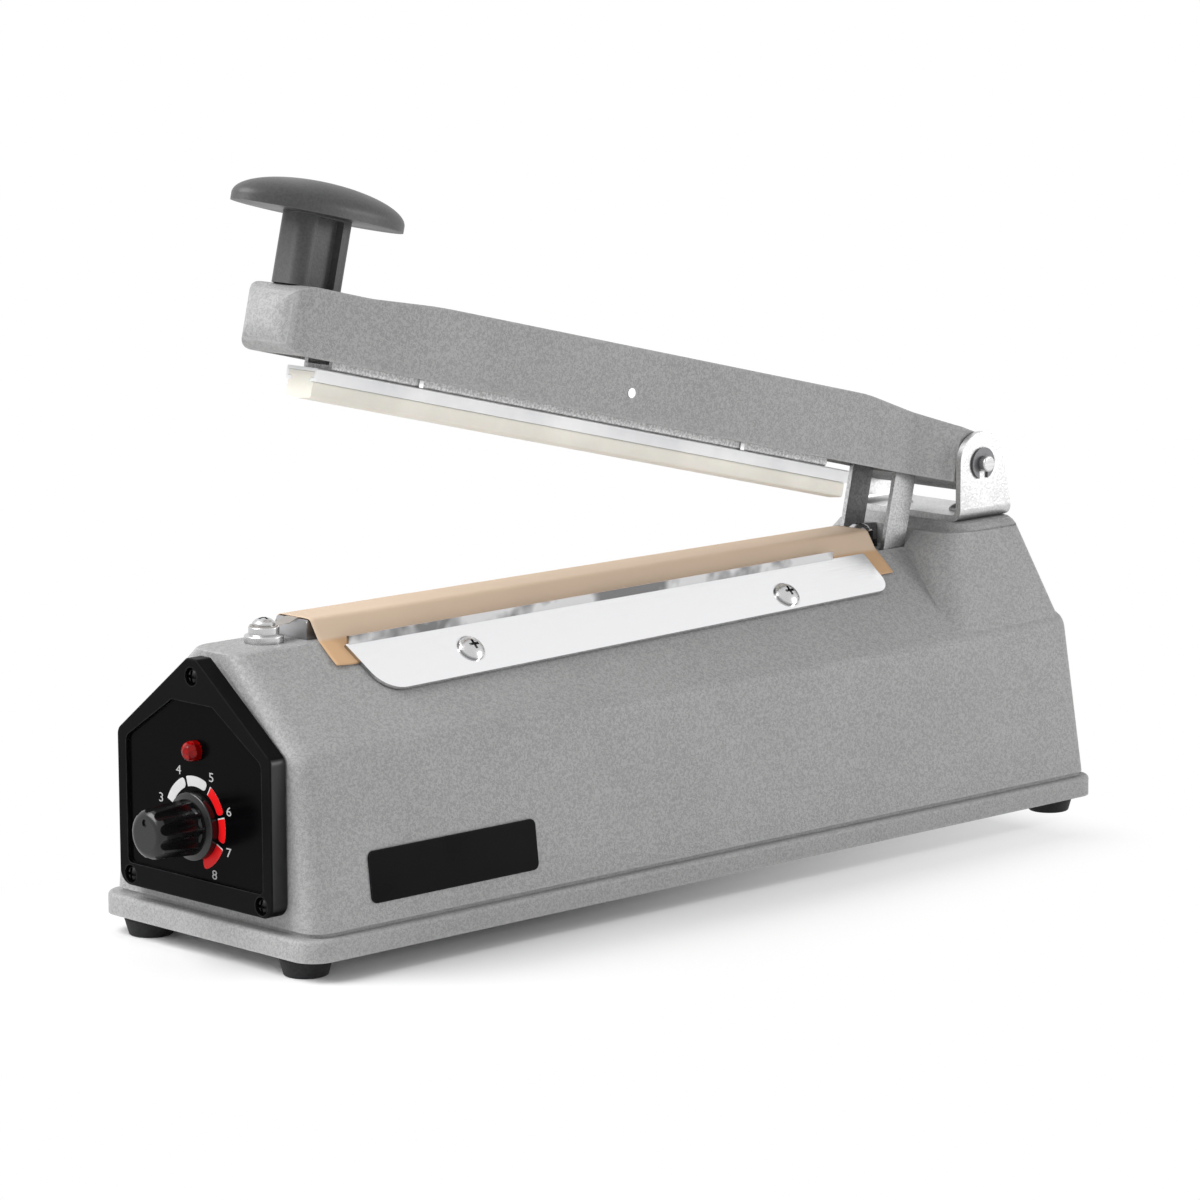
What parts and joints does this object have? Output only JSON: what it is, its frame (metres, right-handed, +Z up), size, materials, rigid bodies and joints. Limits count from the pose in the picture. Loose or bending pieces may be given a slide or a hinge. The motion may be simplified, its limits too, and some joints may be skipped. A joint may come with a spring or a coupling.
{
  "type": "impulse sealer",
  "caption": "hand impulse sealer with a hinged arm and handle, a heated sealing bed, a cover sheet, a timer knob and an indicator lamp",
  "frame": {"origin": "on the supporting surface, under the centre of the whole sealer's box", "axes": "+X runs from the control panel to the hinge, +Y to the far side, +Z up"},
  "size_m": [0.3486, 0.094, 0.2156],
  "materials": {
    "hammer_paint": "grey hammertone enamel on die-cast aluminium",
    "black_plastic": "moulded black plastic with a fine texture",
    "knob_plastic": "glossy black knob moulding",
    "handle_plastic": "dark grey moulded handle",
    "lamp_red": "red translucent lamp lens",
    "label_black": "plain black label plate",
    "rubber_black": "black rubber",
    "steel_bright": "bright plated or polished steel",
    "steel_zinc": "zinc plated steel",
    "steel_dark": "dark spring steel",
    "aluminium_rail": "extruded aluminium",
    "bed_aluminium": "aluminium bar",
    "holder_white": "white extruded plastic channel",
    "silicone_cream": "cream silicone rubber",
    "band_nichrome": "flat resistance band",
    "glass_cloth": "tan coated glass cloth",
    "brass_plain": "plain brass",
    "board_green": "green circuit board",
    "iron_core": "varnished core laminations",
    "coil_tape": "taped copper winding"
  },
  "bodies": {
    "base": {"housing": "hammer_paint", "base_plate": "steel_zinc", "foot_front_near": "rubber_black", "foot_front_far": "rubber_black", "foot_rear_near": "rubber_black", "foot_rear_far": "rubber_black", "foot_screws": "steel_zinc", "control_panel": "black_plastic", "panel_screws": "steel_dark", "timer_potentiometer": "steel_zinc", "timer_nut": "steel_zinc", "indicator_lamp": "lamp_red", "cord_inlet": "rubber_black", "side_label": "label_black", "heater_bed": "bed_aluminium", "heating_band": "band_nichrome", "front_terminal": "steel_zinc", "rear_terminal": "black_plastic", "terminal_screws": "steel_bright", "cover_sheet": "glass_cloth", "clamp_plate_near": "steel_bright", "clamp_plate_far": "steel_bright", "clamp_screws": "steel_bright", "hinge_bracket": "steel_bright", "bracket_screws": "steel_bright", "hinge_pin": "steel_bright", "hinge_clips": "steel_dark", "return_spring": "steel_zinc", "spring_post": "steel_zinc", "microswitch": "black_plastic", "lever_pin": "steel_zinc", "switch_stand": "steel_zinc", "switch_screws": "steel_zinc", "transformer_core": "iron_core", "transformer_coil": "coil_tape", "transformer_strap": "steel_zinc", "timer_board": "board_green", "board_relay": "black_plastic", "board_capacitor": "label_black", "board_standoffs": "brass_plain"},
    "arm": {"arm": "hammer_paint", "holder_rail": "aluminium_rail", "rail_pin": "steel_zinc", "rail_clips": "steel_bright", "strip_holder": "holder_white", "silicone_strip": "silicone_cream", "handle": "handle_plastic", "handle_screw": "steel_zinc", "arm_yoke": "steel_zinc", "yoke_crossbar": "steel_zinc", "yoke_screw": "steel_zinc"},
    "knob": {"timer_knob": "knob_plastic", "timer_shaft": "aluminium_rail"},
    "lever": {"switch_lever": "steel_bright"},
    "plunger": {"switch_plunger": "lamp_red"}
  },
  "joints": [
    {"name": "arm_hinge", "type": "hinge", "parent": "base", "child": "arm", "pos_m": [0.141, 0, 0.1111], "axis": [0, -1, 0], "range_deg": [0, 13.4], "stiffness_Nm_per_rad": 1, "springref_deg": -45.84, "deforming": ["return_spring"]},
    {"name": "timer_turn", "type": "hinge", "parent": "base", "child": "knob", "pos_m": [-0.15625, 0, 0.038], "axis": [1, 0, 0], "range_deg": [-120, 150]},
    {"name": "lever_hinge", "type": "hinge", "parent": "base", "child": "lever", "pos_m": [0.08725, 0.00915, 0.0695], "axis": [0, 1, 0], "range_deg": [0, 11.2]},
    {"name": "plunger_slide", "type": "slide", "parent": "base", "child": "plunger", "axis": [0, 0, -1], "range_m": [0, 0.0017]}
  ],
  "couplings": [
    {"joint": "lever_hinge", "follows": "arm_hinge", "ratio": 0.816},
    {"joint": "plunger_slide", "follows": "arm_hinge", "m_per_rad": 0.0068}
  ]
}
